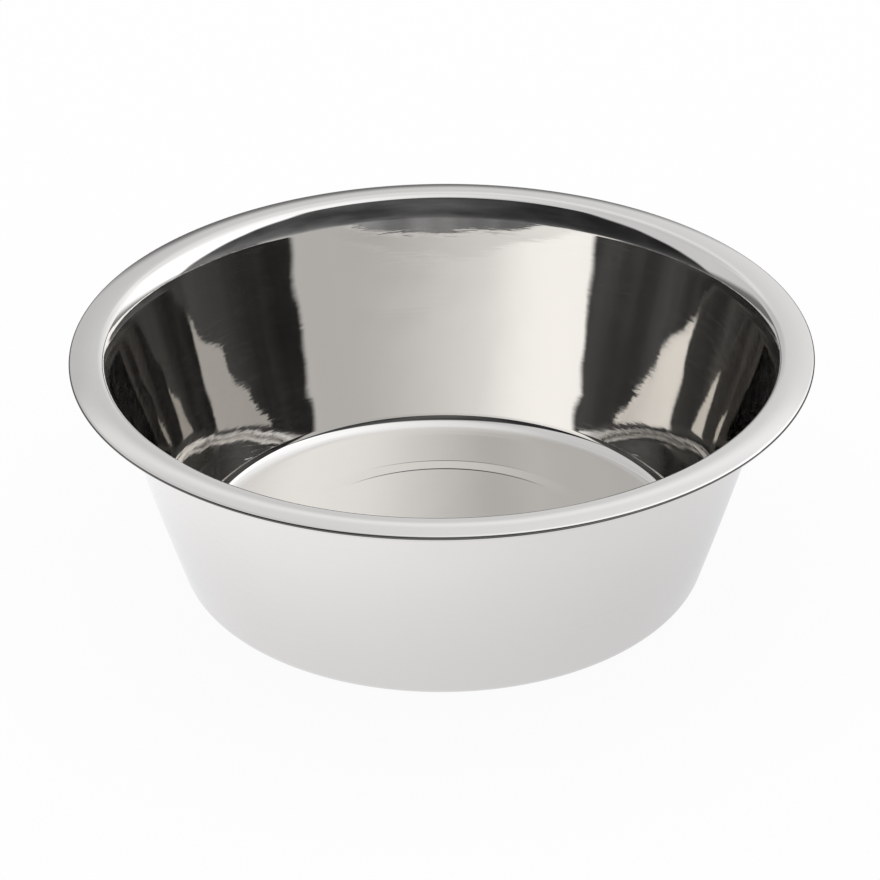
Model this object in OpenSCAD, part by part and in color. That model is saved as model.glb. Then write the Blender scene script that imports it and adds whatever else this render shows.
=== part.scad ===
// Stainless feeding bowl, drawn from one round sheet.
// The section of the sheet is walked from the centre of the floor to the free end of the edge roll,
// and is then turned about the upright axis.

/* [Bowl] */
// Outer diameter across the edge roll
rim_d = 250; // [215:1:290]
// Height from the standing face to the top of the flange
bowl_h = 84.4; // [60:0.1:120]
// Diameter of the floor, up to where the corner bend starts
floor_d = 169.5; // [132:0.5:184]
// Inside radius of the bend between floor and wall
corner_r = 6; // [2:0.5:20]
// Angle through which the wall steepens from its foot to its top
wall_bow_a = 2.5; // [0.5:0.5:8]
// Width of the outer ring of the floor, which slopes up a little to the corner bend
ring_w = 3.2; // [1:0.1:8]
// Slope of that ring
ring_a = 2.5; // [1:0.5:6]
// Thickness of the sheet
sheet_t = 0.6; // [0.4:0.05:0.9]

/* [Rim] */
// Width of the flange between the throat bend and the edge roll
flange_w = 8.5; // [5:0.5:14]
// Angle above level at which the flange leaves the throat bend
flange_rise_a = 8; // [1:0.5:15]
// Angle below level at which the flange meets the edge roll
flange_fall_a = 8; // [1:0.5:15]
// Outside radius of the throat bend, at the inner edge of the flange
throat_r = 3; // [1:0.5:8]
// Outside radius of the flare between the wall and the throat bend
flare_r = 20.5; // [10:0.5:60]
// Angle above level at which the flare meets the throat bend
flare_a = 55; // [30:1:65]
// Outside radius of the edge roll
roll_r = 1.1; // [1:0.05:3]
// Angle through which the sheet turns in the edge roll
roll_a = 250; // [120:5:270]

/* [Centre disc] */
// Diameter of the flat disc stamped down into the middle of the floor
disc_d = 113.5; // [60:0.5:120]
// Depth of the disc below the floor around it
disc_h = 0.5; // [0.3:0.1:1.5]
// Slope of the step round the disc
step_a = 7; // [4:0.5:20]
// Radius of the floor's shallow bends, at the middle of the sheet
step_r = 3; // [1:0.5:8]

/* [Hidden] */
$fn = 96;

// Widest turn between two neighbouring points of a bend
facet_a = 12;
// Number of chords along the wall
wall_chords = 4;

half_t = sheet_t / 2;

// Radii of the bends at the middle of the sheet
corner_mid_r = corner_r + half_t;
flare_mid_r = flare_r - half_t;
throat_mid_r = throat_r - half_t;
roll_mid_r = roll_r - half_t;
crown_mid_r = flange_w / (sin(flange_rise_a) + sin(flange_fall_a));

// Middle of the sheet at the top of the flange, found from the outermost point of the edge roll
roll_centre_x = rim_d / 2 - roll_r;
top_x = roll_centre_x - (crown_mid_r - roll_mid_r) * sin(flange_fall_a);
top_z = bowl_h - half_t;

// Unit vectors along a heading and to its left
function ahead(a) = [cos(a), sin(a)];
function left(a) = [-sin(a), cos(a)];

// Rise of the floor's outer ring, with the bend at its inner edge
ring_bend_w = step_r * sin(ring_a);
ring_rise = step_r * (1 - cos(ring_a)) + (ring_w - ring_bend_w) * tan(ring_a);

// Centres of the corner bend, the throat bend and the flare
floor_z = disc_h + half_t;
corner_centre = [floor_d / 2, floor_z + ring_rise] + corner_mid_r * left(ring_a);
crown_centre = [top_x, top_z - crown_mid_r];
throat_centre = crown_centre + (crown_mid_r - throat_mid_r) * left(flange_rise_a);
flare_centre = throat_centre + (throat_mid_r - flare_mid_r) * left(flare_a);

// The wall is the arc that touches the corner bend from inside and the flare from outside.
// The three centres form a triangle: two sides are the wall's radius less the corner's and plus
// the flare's, with the bow between them, and the third side is the span. This gives the radius.
span = flare_centre - corner_centre;
bow_gap = 2 * (1 - cos(wall_bow_a));
bend_gap = bow_gap * (flare_mid_r - corner_mid_r);
bend_sum = corner_mid_r + flare_mid_r;
bow_rest = span * span - bend_sum * bend_sum + bow_gap * corner_mid_r * flare_mid_r;
wall_mid_r = (sqrt(bend_gap * bend_gap + 4 * bow_gap * bow_rest) - bend_gap) / (2 * bow_gap);

// Headings of the wall at its foot and at its top
wall_shift = (wall_mid_r - corner_mid_r) * left(0) - (wall_mid_r + flare_mid_r) * left(wall_bow_a);
foot_a = atan2(span[1], span[0]) - atan2(wall_shift[1], wall_shift[0]);
head_a = foot_a + wall_bow_a;

// Straight runs of the step and the floor
step_rise = 2 * step_r * (1 - cos(step_a));
step_run = max(0, disc_h - step_rise) / sin(step_a);
step_w = 2 * step_r * sin(step_a) + step_run * cos(step_a);
floor_run = floor_d / 2 - ring_w - disc_d / 2 - step_w;

// Stretches of the middle line, each as [length, 0] for a straight run or [radius, turn] for a bend.
// A positive turn bends the sheet upwards.
STRETCHES = [
    [disc_d / 2, 0],
    [step_r, step_a],
    [step_run, 0],
    [step_r, -step_a],
    [floor_run, 0],
    [step_r, ring_a],
    [(ring_w - ring_bend_w) / cos(ring_a), 0],
    [corner_mid_r, foot_a - ring_a],
    each [for (k = [1 : wall_chords]) [wall_mid_r, wall_bow_a / wall_chords]],
    [flare_mid_r, flare_a - head_a],
    [throat_mid_r, flange_rise_a - flare_a],
    [crown_mid_r, -flange_rise_a],
    [crown_mid_r, -flange_fall_a],
    [roll_mid_r, flange_fall_a - 90],
    [roll_mid_r, 90 - flange_fall_a - roll_a]
];

// A station is a point of the middle line and its heading. These give the next one,
// a share of the way along a stretch.
function along_run(at, length) = [at[0] + length * ahead(at[1]), at[1]];
function along_bend(at, r, turn) =
    let (centre = at[0] + sign(turn) * r * left(at[1]))
    [centre - sign(turn) * r * left(at[1] + turn), at[1] + turn];
function along(at, stretch, share) =
    stretch[1] == 0
        ? along_run(at, stretch[0] * share)
        : along_bend(at, stretch[0], stretch[1] * share);

// All stations from one on, through the stretches from number i
function stations(at, i = 0) =
    i == len(STRETCHES)
        ? [at]
        : let (
            stretch = STRETCHES[i],
            steps = max(1, ceil(abs(stretch[1]) / facet_a))
        )
        concat(
            [for (k = [0 : steps - 1]) along(at, stretch, k / steps)],
            stations(along(at, stretch, 1), i + 1)
        );

// Outline of the sheet: its upper face outwards, then its lower face back to the axis
module sheet_section() {
    line = stations([[0, half_t], 0]);
    upper = [for (s = line) s[0] + half_t * left(s[1])];
    lower = [for (s = line) s[0] - half_t * left(s[1])];
    count = len(line);
    polygon(concat(upper, [for (i = [1 : count]) lower[count - i]]));
}

module bowl() {
    color("silver")
        rotate_extrude()
            sheet_section();
}

bowl();
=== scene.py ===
from math import atan2, ceil, cos, pi, radians, sin, sqrt, tan, tau

import bpy
from mathutils import Matrix, Vector


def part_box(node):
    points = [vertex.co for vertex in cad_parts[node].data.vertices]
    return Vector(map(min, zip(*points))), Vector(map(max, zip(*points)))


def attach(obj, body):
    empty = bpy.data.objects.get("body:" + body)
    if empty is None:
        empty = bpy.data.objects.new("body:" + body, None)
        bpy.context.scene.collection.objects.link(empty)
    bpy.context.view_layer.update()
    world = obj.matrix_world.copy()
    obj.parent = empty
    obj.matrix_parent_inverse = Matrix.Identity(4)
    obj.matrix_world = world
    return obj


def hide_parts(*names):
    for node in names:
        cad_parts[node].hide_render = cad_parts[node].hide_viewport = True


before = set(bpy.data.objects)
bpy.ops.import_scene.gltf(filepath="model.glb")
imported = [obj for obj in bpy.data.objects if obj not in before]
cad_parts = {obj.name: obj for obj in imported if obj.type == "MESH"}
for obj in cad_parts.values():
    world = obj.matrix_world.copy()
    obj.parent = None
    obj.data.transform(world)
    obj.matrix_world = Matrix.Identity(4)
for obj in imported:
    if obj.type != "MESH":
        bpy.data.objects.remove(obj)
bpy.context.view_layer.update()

# Sizes in metres and angles in degrees. RIM_D and BOWL_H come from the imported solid. The slopes of the flange
# and of the step differ a little from the solid's, and the creases along the step are in this sheet only.
BOX_LOW, BOX_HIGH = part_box("bowl")
RIM_D = BOX_HIGH[0] - BOX_LOW[0]
BOWL_H = BOX_HIGH[2] - BOX_LOW[2]
SHEET_T = 0.0006
FLOOR_D = 0.1695
CORNER_R = 0.006
WALL_BOW_A = 2.5
RING_W = 0.0032
RING_A = 2.5
FLANGE_W = 0.0085
FLANGE_RISE_A = 4.5
FLANGE_FALL_A = 11.5
THROAT_R = 0.003
FLARE_R = 0.0205
FLARE_A = 55
ROLL_R = 0.0011
ROLL_A = 250
DISC_D = 0.1135
DISC_H = 0.0005
STEP_A = 8
STEP_R = 0.003
INNER_CREASE_R, INNER_CREASE_A = 0.0028, 12
OUTER_CREASE_R, OUTER_CREASE_A = 0.0020, 8
# Share of the inner crease that lies inside the disc's own radius, and the crease's depth
CREASE_OVERLAP = 0.2
CREASE_H = 2 * INNER_CREASE_R * (1 - cos(radians(INNER_CREASE_A)))

# Fineness of the mesh: steps round the axis, and the widest turn and the longest chord along the section
SEGMENTS = 224
FACET_A = 3.0
CHORD = 0.003

# Polishing marks: depth of the fine streaks and of the long waves, and how much of both is on the floor
STREAK_H = 0.000009
WAVE_H = 0.000200
FLOOR_SHARE = 0.12
# Distances along the sheet at the foot of the wall, and at its top where it meets the flare
WALL_FOOT = (FLOOR_D / 2 + 0.006, FLOOR_D / 2 + 0.022)
WALL_TOP = (0.140, 0.158)

# Radius of the strip that stands behind the bowl
CARD_R = 0.24


# Section of the sheet
def ahead(a):
    return Vector((cos(radians(a)), sin(radians(a))))


def left(a):
    return Vector((-sin(radians(a)), cos(radians(a))))


def sheet_stretches():
    """Stretches of the middle line, as (length, 0) or (radius, turn)."""
    half_t = SHEET_T / 2
    corner, flare = CORNER_R + half_t, FLARE_R - half_t
    throat, roll = THROAT_R - half_t, ROLL_R - half_t
    crown = FLANGE_W / (sin(radians(FLANGE_RISE_A)) + sin(radians(FLANGE_FALL_A)))
    top = Vector((RIM_D / 2 - ROLL_R - (crown - roll) * sin(radians(FLANGE_FALL_A)), BOWL_H - half_t))
    ring_bend_w = STEP_R * sin(radians(RING_A))
    ring_rise = STEP_R * (1 - cos(radians(RING_A))) + (RING_W - ring_bend_w) * tan(radians(RING_A))
    corner_centre = Vector((FLOOR_D / 2, DISC_H + half_t + ring_rise)) + corner * left(RING_A)
    crown_centre = top - Vector((0, crown))
    throat_centre = crown_centre + (crown - throat) * left(FLANGE_RISE_A)
    flare_centre = throat_centre + (throat - flare) * left(FLARE_A)

    # The wall touches the corner bend from inside and the flare from outside.
    span = flare_centre - corner_centre
    bow_gap = 2 * (1 - cos(radians(WALL_BOW_A)))
    bend_gap = bow_gap * (flare - corner)
    bow_rest = span.dot(span) - (corner + flare) ** 2 + bow_gap * corner * flare
    wall = (sqrt(bend_gap ** 2 + 4 * bow_gap * bow_rest) - bend_gap) / (2 * bow_gap)
    shift = (wall - corner) * left(0) - (wall + flare) * left(WALL_BOW_A)
    foot_a = (atan2(span.y, span.x) - atan2(shift.y, shift.x)) * 180 / pi

    # A fine crease runs along both edges of the step; the disc lies higher by its depth.
    inner_w = 2 * INNER_CREASE_R * sin(radians(INNER_CREASE_A))
    outer_w = 2 * OUTER_CREASE_R * sin(radians(OUTER_CREASE_A))
    outer_h = 2 * OUTER_CREASE_R * (1 - cos(radians(OUTER_CREASE_A)))
    step_rise = 2 * STEP_R * (1 - cos(radians(STEP_A)))
    step_run = (DISC_H + outer_h - step_rise) / sin(radians(STEP_A))
    step_w = 2 * STEP_R * sin(radians(STEP_A)) + step_run * cos(radians(STEP_A))
    disc_w = DISC_D / 2 - CREASE_OVERLAP * inner_w
    return [
        (disc_w, 0),
        (INNER_CREASE_R, -INNER_CREASE_A),
        (INNER_CREASE_R, INNER_CREASE_A),
        (STEP_R, STEP_A),
        (step_run, 0),
        (STEP_R, -STEP_A),
        (OUTER_CREASE_R, -OUTER_CREASE_A),
        (OUTER_CREASE_R, OUTER_CREASE_A),
        (FLOOR_D / 2 - RING_W - disc_w - inner_w - step_w - outer_w, 0),
        (STEP_R, RING_A),
        ((RING_W - ring_bend_w) / cos(radians(RING_A)), 0),
        (corner, foot_a - RING_A),
        (wall, WALL_BOW_A),
        (flare, FLARE_A - foot_a - WALL_BOW_A),
        (throat, FLANGE_RISE_A - FLARE_A),
        (crown, -FLANGE_RISE_A - FLANGE_FALL_A),
        (roll, FLANGE_FALL_A - 90),
        (roll, 90 - FLANGE_FALL_A - ROLL_A),
    ]


def further(at, heading, size, turn, share):
    """Point and heading a share of the way along a stretch."""
    if turn == 0:
        return at + size * share * ahead(heading), heading
    side = 1 if turn > 0 else -1
    centre = at + side * size * left(heading)
    heading += turn * share
    return centre - side * size * left(heading), heading


def sheet_stations():
    """Points of the middle line with their heading and the distance along the sheet."""
    at, heading, run = Vector((0, SHEET_T / 2 + CREASE_H)), 0.0, 0.0
    found = []
    for size, turn in sheet_stretches():
        length = size if turn == 0 else size * abs(radians(turn))
        steps = max(1, ceil(length / CHORD), ceil(abs(turn) / FACET_A))
        for k in range(steps):
            share = k / steps
            found.append((*further(at, heading, size, turn, share), run + length * share))
        at, heading = further(at, heading, size, turn, 1)
        run += length
    found.append((at, heading, run))
    return found


def build_bowl():
    """The sheet turned about the upright axis, closed at both ends by a fan on the axis."""
    stations = sheet_stations()
    half_t = SHEET_T / 2
    upper = [(at + half_t * left(a), left(a), run) for at, a, run in stations]
    lower = [(at - half_t * left(a), -left(a), run) for at, a, run in reversed(stations)]
    rows = upper[1:] + lower[:-1]
    verts, normals, runs = [], [], []
    for point, normal, run in rows:
        for k in range(SEGMENTS):
            c, s = cos(tau * k / SEGMENTS), sin(tau * k / SEGMENTS)
            verts.append((point.x * c, point.x * s, point.y))
            normals.append((normal.x * c, normal.x * s, normal.y))
            runs.append(run)
    faces = []
    for j in range(len(rows) - 1):
        for k in range(SEGMENTS):
            k2 = (k + 1) % SEGMENTS
            a, b = j * SEGMENTS, (j + 1) * SEGMENTS
            faces.append((a + k, b + k, b + k2, a + k2))
    last = (len(rows) - 1) * SEGMENTS
    for (point, normal, _), start, flip in ((upper[0], 0, False), (lower[-1], last, True)):
        centre = len(verts)
        verts.append((0, 0, point.y))
        normals.append((0, 0, normal.y))
        runs.append(0.0)
        for k in range(SEGMENTS):
            a, b = start + k, start + (k + 1) % SEGMENTS
            faces.append((centre, b, a) if flip else (centre, a, b))
    mesh = bpy.data.meshes.new("bowl_polished")
    mesh.from_pydata(verts, [], faces)
    mesh.polygons.foreach_set("use_smooth", [True] * len(mesh.polygons))
    mesh.normals_split_custom_set_from_vertices(normals)
    layer = mesh.attributes.new("along", "FLOAT", "POINT")
    layer.data.foreach_set("value", runs)
    mesh.update()
    obj = bpy.data.objects.new("bowl_polished", mesh)
    bpy.context.scene.collection.objects.link(obj)
    return obj


# Material
class Nodes:
    """Shorthand for building a node tree."""

    def __init__(self, tree):
        self.tree = tree
        tree.nodes.clear()

    def add(self, kind, **settings):
        inputs = settings.pop("inputs", {})
        node = self.tree.nodes.new(kind)
        for key, value in settings.items():
            setattr(node, key, value)
        for key, value in inputs.items():
            self.feed(node.inputs[key], value)
        return node

    def feed(self, socket, value):
        if isinstance(value, bpy.types.NodeSocket):
            self.tree.links.new(value, socket)
        else:
            socket.default_value = value

    def math(self, operation, *values, clamp=False):
        node = self.tree.nodes.new("ShaderNodeMath")
        node.operation = operation
        node.use_clamp = clamp
        for k, value in enumerate(values):
            self.feed(node.inputs[k], value)
        return node.outputs[0]

    def smooth(self, value, low, high, to_low=0.0, to_high=1.0):
        node = self.add("ShaderNodeMapRange", interpolation_type="SMOOTHSTEP")
        ends = {"From Min": low, "From Max": high, "To Min": to_low, "To Max": to_high}
        for key, item in {"Value": value, **ends}.items():
            self.feed(node.inputs[key], item)
        return node.outputs[0]

    def mix(self, factor, a, b):
        node = self.add("ShaderNodeMix", data_type="FLOAT")
        self.feed(node.inputs[0], factor)
        self.feed(node.inputs[2], a)
        self.feed(node.inputs[3], b)
        return node.outputs[0]

    def ramp(self, value, stops):
        node = self.add("ShaderNodeValToRGB")
        ramp = node.color_ramp
        ramp.interpolation = "LINEAR"
        while len(ramp.elements) > 1:
            ramp.elements.remove(ramp.elements[-1])
        for k, (place, level) in enumerate(stops):
            item = ramp.elements[0] if k == 0 else ramp.elements.new(place)
            item.position = place
            item.color = (level, level, level, 1)
        self.feed(node.inputs[0], value)
        return node.outputs[0]


def stainless():
    """Polished steel: fine marks of the polishing run round the bowl, over long shallow waves."""
    mat = bpy.data.materials.new("stainless_polished")
    mat.use_nodes = True
    n = Nodes(mat.node_tree)
    out = n.add("ShaderNodeOutputMaterial")
    colour = (0.771, 0.75, 0.718, 1)
    bsdf = n.add("ShaderNodeBsdfPrincipled", inputs={"Metallic": 1.0, "Base Color": colour})
    n.feed(out.inputs[0], bsdf.outputs[0])

    # Coordinates that follow the sheet: round the axis, and along the section.
    place = n.add("ShaderNodeTexCoord").outputs["Object"]
    x, y, _ = n.add("ShaderNodeSeparateXYZ", inputs={0: place}).outputs
    flat = n.add("ShaderNodeCombineXYZ", inputs={0: x, 1: y, 2: 0.0}).outputs[0]
    round_way = n.add("ShaderNodeVectorMath", operation="NORMALIZE", inputs={0: flat}).outputs[0]
    along = n.add("ShaderNodeAttribute", attribute_name="along").outputs["Fac"]

    def sheet_noise(around, across, detail=2.0):
        """Noise with so many cells per radian round the axis and per metre along the section."""
        sx, sy, _ = n.add("ShaderNodeSeparateXYZ", inputs={0: round_way}).outputs
        spot = n.add("ShaderNodeCombineXYZ", inputs={
            0: n.math("MULTIPLY", sx, around),
            1: n.math("MULTIPLY", sy, around),
            2: n.math("MULTIPLY", along, across),
        }).outputs[0]
        settings = {"Vector": spot, "Scale": 1.0, "Detail": detail, "Roughness": 0.55}
        return n.add("ShaderNodeTexNoise", inputs=settings).outputs["Fac"]

    on_wall = n.smooth(along, *WALL_FOOT)
    streaks = sheet_noise(9.0, 800.0, 3.0)
    waves = sheet_noise(4.0, 40.0, 1.0)
    height = n.math("ADD", n.math("MULTIPLY", streaks, STREAK_H), n.math("MULTIPLY", waves, WAVE_H))
    height = n.math("MULTIPLY", height, n.mix(on_wall, FLOOR_SHARE, 1.0))
    height = n.math("MULTIPLY", height, n.smooth(along, *WALL_TOP, 1.0, 0.5))
    bump = n.add("ShaderNodeBump", inputs={"Strength": 1.0, "Distance": 1.0, "Height": height})
    n.feed(bsdf.inputs["Normal"], bump.outputs[0])

    marks = sheet_noise(12.0, 1000.0, 3.0)
    n.feed(bsdf.inputs["Roughness"], n.smooth(marks, 0.5, 0.8, 0.02, 0.07))
    patches = sheet_noise(2.0, 25.0, 2.0)
    fine, broad = n.smooth(marks, 0.4, 0.65, 0.2, 1.0), n.smooth(patches, 0.35, 0.65, 0.02, 0.35)
    haze = n.math("MULTIPLY", fine, broad)
    n.feed(bsdf.inputs["Coat Weight"], haze)
    bsdf.inputs["Coat Roughness"].default_value = 0.35
    return mat


bowl = build_bowl()
bowl.data.materials.append(stainless())
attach(bowl, "root")
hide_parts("bowl")


# Table, studio and strip
def floor_material():
    """Pale table: white with a faint shadow to the camera, and painted light and shade for the metal."""
    mat = bpy.data.materials.new("floor")
    mat.use_nodes = True
    n = Nodes(mat.node_tree)
    out = n.add("ShaderNodeOutputMaterial")
    path = n.add("ShaderNodeLightPath")
    place = n.add("ShaderNodeTexCoord").outputs["Object"]
    x, _, _ = n.add("ShaderNodeSeparateXYZ", inputs={0: place}).outputs

    # Painted shade for the metal: a shadow near the foot, darker on the right, and nearly dark far out.
    reach = n.add("ShaderNodeVectorMath", operation="LENGTH", inputs={0: place}).outputs["Value"]
    painted_foot_shadow = n.smooth(reach, 0.085, 0.16, 0.9, 1.07)
    painted_side_shade = n.smooth(x, -0.15, 0.15, 1.02, 0.82)
    shown = n.math("MULTIPLY", painted_foot_shadow, painted_side_shade)
    painted_far_dark = n.math("MULTIPLY", n.smooth(reach, 0.17, 0.24), 0.85)
    shown = n.math("MULTIPLY", shown, n.math("SUBTRACT", 1.0, painted_far_dark))
    # Emission that only the metal sees, with the painted shade in its strength.
    seen = n.add("ShaderNodeEmission", inputs={"Color": (0.985, 0.99, 1.02, 1), "Strength": shown})

    # The camera sees mostly plain white, and soft light the pale surface.
    plain = n.add("ShaderNodeBsdfDiffuse", inputs={"Color": (0.9, 0.9, 0.9, 1)})
    white = n.add("ShaderNodeEmission", inputs={"Color": (1, 1, 1, 1), "Strength": 1.0})
    whitened = n.math("MULTIPLY", path.outputs["Is Camera Ray"], 0.93)
    to_camera = n.add("ShaderNodeMixShader", inputs={0: whitened})
    n.feed(to_camera.inputs[1], plain.outputs[0])
    n.feed(to_camera.inputs[2], white.outputs[0])
    to_metal = n.add("ShaderNodeMixShader", inputs={0: path.outputs["Is Glossy Ray"]})
    n.feed(to_metal.inputs[1], to_camera.outputs[0])
    n.feed(to_metal.inputs[2], seen.outputs[0])
    n.feed(out.inputs[0], to_metal.outputs[0])
    return mat


bpy.ops.mesh.primitive_plane_add(size=40, location=(0, 0, BOX_LOW[2]))
floor = bpy.context.object
floor.name = "floor"
floor.data.materials.append(floor_material())


def high(a):
    """An elevation as its share of a right angle."""
    return a / 90


def round_to(a):
    """A turn away from the far side as its share of a half turn."""
    return a / 180


def surroundings():
    """White studio that opens to a dark room on the camera's side, as the polished metal shows it."""
    # How much brighter the ceiling and the room are on the right, and the lamp there.
    ceiling_lift, room_lift, lamp_level = 0.28, 0.6, 0.25
    # The glow behind the camera, and how much duller the ceiling is in the band and over the opening.
    glow_level, band_dulling, over_dulling = 0.06, 0.12, 0.13
    studio_turn = 2

    world = bpy.data.worlds.new("studio")
    world.use_nodes = True
    n = Nodes(world.node_tree)
    out = n.add("ShaderNodeOutputWorld")
    path = n.add("ShaderNodeLightPath")
    way = n.add("ShaderNodeTexCoord").outputs["Generated"]
    x, y, z = n.add("ShaderNodeSeparateXYZ", inputs={0: way}).outputs
    up = n.math("DIVIDE", n.math("ARCSINE", z), pi / 2)
    # Turn away from the far side. The opening and what goes by it are turned a little to the right.
    turn = n.math("SUBTRACT", n.math("ARCTAN2", x, y), radians(studio_turn))
    turn = n.math("DIVIDE", n.math("ABSOLUTE", turn), pi)

    # The white ceiling ends in a straight edge. The dark opening under it is low at the sides and high behind
    # the camera. Each pair is a turn away from the far side and the opening's height there.
    opening = [(74, 0), (82, 8.5), (90, 14.5), (97, 20), (104, 25), (108, 28), (114, 31.5), (120, 35),
               (127, 40.5), (142, 49), (157, 54), (172, 57), (180, 57.5)]
    edge = n.ramp(turn, [(round_to(a), high(e)) for a, e in opening])
    blur = n.smooth(turn, round_to(110), round_to(160), high(2.2), high(5))
    lit = n.smooth(n.math("SUBTRACT", up, edge), n.math("MULTIPLY", blur, -1.0), blur)

    # The dark room is lightest at the horizon and has vague shapes in it.
    shapes = n.add("ShaderNodeTexNoise", inputs={"Vector": way, "Scale": 3.5, "Detail": 2.0})
    depth = n.smooth(shapes.outputs["Fac"], 0.3, 0.7, 0.7, 1.3)
    levels = [(0, 0.28), (2, 0.24), (4, 0.17), (6, 0.11), (12, 0.07), (25, 0.046), (50, 0.07)]
    room = n.math("MULTIPLY", depth, n.ramp(up, [(high(e), level) for e, level in levels]))

    # It is brighter on the right, and has a dim glow straight behind the camera.
    level_reach = n.math("SQRT", n.math("ADD", n.math("MULTIPLY", x, x), n.math("MULTIPLY", y, y)))
    rightward = n.math("DIVIDE", x, n.math("MAXIMUM", level_reach, 0.45))
    room = n.math("MULTIPLY", room, n.math("MULTIPLY_ADD", rightward, room_lift, 1.0))
    below_glow, above_glow = n.smooth(up, high(14), high(26)), n.smooth(up, high(38), high(50), glow_level, 0.0)
    glow = n.math("MULTIPLY", below_glow, above_glow)
    glow = n.math("MULTIPLY", glow, n.smooth(turn, round_to(150), round_to(180)))
    room = n.math("ADD", room, glow)

    # The ceiling is brighter on the right too, most of all low down.
    low = n.smooth(up, high(32), high(46), 1.0, 0.0)
    lamp = n.math("MULTIPLY", n.smooth(rightward, 0.45, 1.0), n.math("MULTIPLY", low, lamp_level))
    ceiling = n.math("ADD", n.math("MULTIPLY_ADD", rightward, ceiling_lift, 1.0), lamp)

    # It is duller low on the far side, in a band above that, and over the opening.
    backs = [(-75, 0), (-50, 0.12), (-30, 0.28), (-15, 0.31), (0, 0.24), (15, 0.17), (40, 0.05), (60, 0)]
    round_share = n.math("MULTIPLY_ADD", n.math("ARCTAN2", x, y), 0.5 / pi, 0.5)
    dull = n.ramp(round_share, [(0.5 + a / 360, d) for a, d in backs])
    dull = n.math("MULTIPLY", dull, n.smooth(up, high(28), high(36), 1.0, 0.0))
    over = n.smooth(up, high(60), high(74), over_dulling, 0.0)
    over = n.math("MULTIPLY", over, n.smooth(turn, round_to(120), round_to(160)))
    over = n.math("MULTIPLY", over, n.math("MULTIPLY_ADD", rightward, -1.2, 1.0))
    band = n.smooth(up, high(36), high(43), 0.0, band_dulling)
    band = n.math("MULTIPLY", band, n.smooth(up, high(66), high(78), 1.0, 0.0))
    band = n.math("MULTIPLY", band, n.smooth(turn, round_to(50), round_to(90), 1.0, 0.0))
    kept = n.math("SUBTRACT", n.math("SUBTRACT", 1.0, band), n.math("ADD", dull, over))
    ceiling = n.math("MULTIPLY", ceiling, kept)

    # Only the metal sees all this. To the camera and to soft light the world is plain white.
    seen = n.mix(lit, room, ceiling)
    level = n.mix(path.outputs["Is Glossy Ray"], 1.0, seen)
    tint = n.add("ShaderNodeMix", data_type="RGBA")
    n.feed(tint.inputs[0], path.outputs["Is Glossy Ray"])
    n.feed(tint.inputs[6], (1, 1, 1, 1))
    n.feed(tint.inputs[7], (0.985, 1, 1.03, 1))
    back = n.add("ShaderNodeBackground", inputs={"Color": tint.outputs[2], "Strength": level})
    n.feed(out.inputs[0], back.outputs[0])
    bpy.context.scene.world = world


surroundings()


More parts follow.
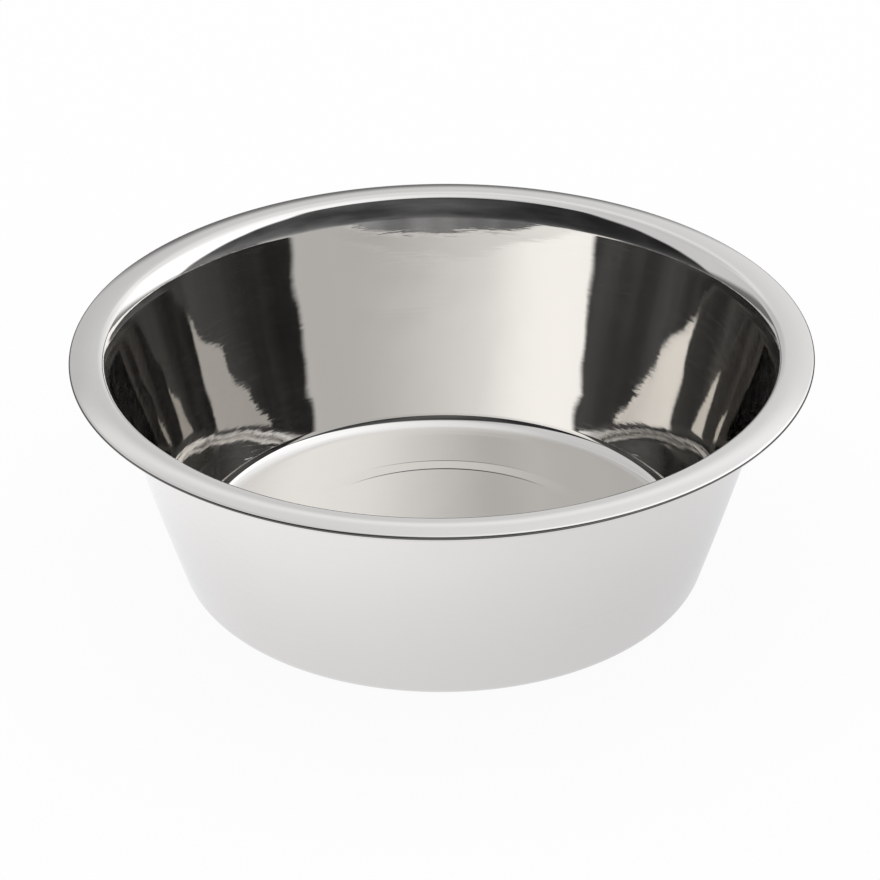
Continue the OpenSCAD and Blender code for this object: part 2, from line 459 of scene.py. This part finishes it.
def card_material():
    """Painted dark reflection: a strip that only the metal shows, strongest low down, fading upwards."""
    dark_share, dark_level = 0.85, 0.1
    mat = bpy.data.materials.new("card")
    mat.use_nodes = True
    n = Nodes(mat.node_tree)
    out = n.add("ShaderNodeOutputMaterial")
    path = n.add("ShaderNodeLightPath")
    place = n.add("ShaderNodeTexCoord").outputs["Object"]
    x, y, z = n.add("ShaderNodeSeparateXYZ", inputs={0: place}).outputs
    way = n.math("MULTIPLY_ADD", n.math("ARCTAN2", x, y), 0.5 / pi, 0.5)

    # Each pair is a turn away from the far side and the elevation at which the strip ends, seen from the rim.
    tops = [(-90, 5), (-60, 9), (-45, 14), (-30, 18), (0, 12), (15, 11), (30, 9), (45, 6), (60, 5), (90, 5)]
    reach = CARD_R - RIM_D / 2
    heights = [(a, BOWL_H + reach * tan(radians(e))) for a, e in tops]
    top = n.ramp(way, [(0.5 + a / 360, h) for a, h in heights])
    cover = n.smooth(n.math("SUBTRACT", z, top), -0.012, 0.022, dark_share, 0.0)
    clear = n.add("ShaderNodeBsdfTransparent")
    dark = n.add("ShaderNodeEmission", inputs={"Color": (1, 1, 1, 1), "Strength": dark_level})
    share = n.math("MULTIPLY", path.outputs["Is Glossy Ray"], cover)
    mixed = n.add("ShaderNodeMixShader", inputs={0: share})
    n.feed(mixed.inputs[1], clear.outputs[0])
    n.feed(mixed.inputs[2], dark.outputs[0])
    n.feed(out.inputs[0], mixed.outputs[0])
    return mat


def add_card():
    """Curved strip standing behind the bowl, which gives the far edge of the flange its dark line."""
    count, height, start, end = 96, BOWL_H + 0.1, radians(-100), radians(100)
    verts, faces = [], []
    for k in range(count + 1):
        a = start + (end - start) * k / count
        for z in (0.0, height):
            verts.append((CARD_R * sin(a), CARD_R * cos(a), z))
    for k in range(count):
        faces.append((2 * k, 2 * k + 2, 2 * k + 3, 2 * k + 1))
    mesh = bpy.data.meshes.new("card")
    mesh.from_pydata(verts, [], faces)
    mesh.materials.append(card_material())
    # The strip is a painted dark reflection: only glossy rays see it, and camera and shadows pass through.
    card = bpy.data.objects.new("card", mesh)
    bpy.context.scene.collection.objects.link(card)


add_card()


# Camera
def add_camera():
    """Camera of the photograph. It aims at the rim's centre, which is shown at pixel (shown_x, shown_y)."""
    frame_px, sensor_mm = 880, 36
    tilt = 0.4902116
    distance = 1.052932
    focal_px = 3128.625
    shown_x, shown_y = 441.554, 340.080
    roll = 0.0077053
    target = Vector((0, 0, BOWL_H))
    place = target + distance * Vector((0, -cos(tilt), sin(tilt)))
    forward = (target - place).normalized()
    right = Vector((1, 0, 0))
    up = right.cross(forward)
    shown = Vector((shown_x - frame_px / 2, frame_px / 2 - shown_y, -focal_px)).normalized()
    turn = Vector((0, 0, -1)).rotation_difference(shown).to_matrix()
    axes = Matrix((right, up, -forward)).transposed() @ turn.inverted()
    data = bpy.data.cameras.new("camera")
    data.sensor_width = sensor_mm
    data.lens = sensor_mm * focal_px / frame_px
    data.clip_end = 100
    camera = bpy.data.objects.new("camera", data)
    bpy.context.scene.collection.objects.link(camera)
    camera.matrix_world = Matrix.Translation(place) @ (Matrix.Rotation(roll, 3, forward) @ axes).to_4x4()
    bpy.context.scene.camera = camera


add_camera()
bpy.context.scene.view_settings.view_transform = "Standard"
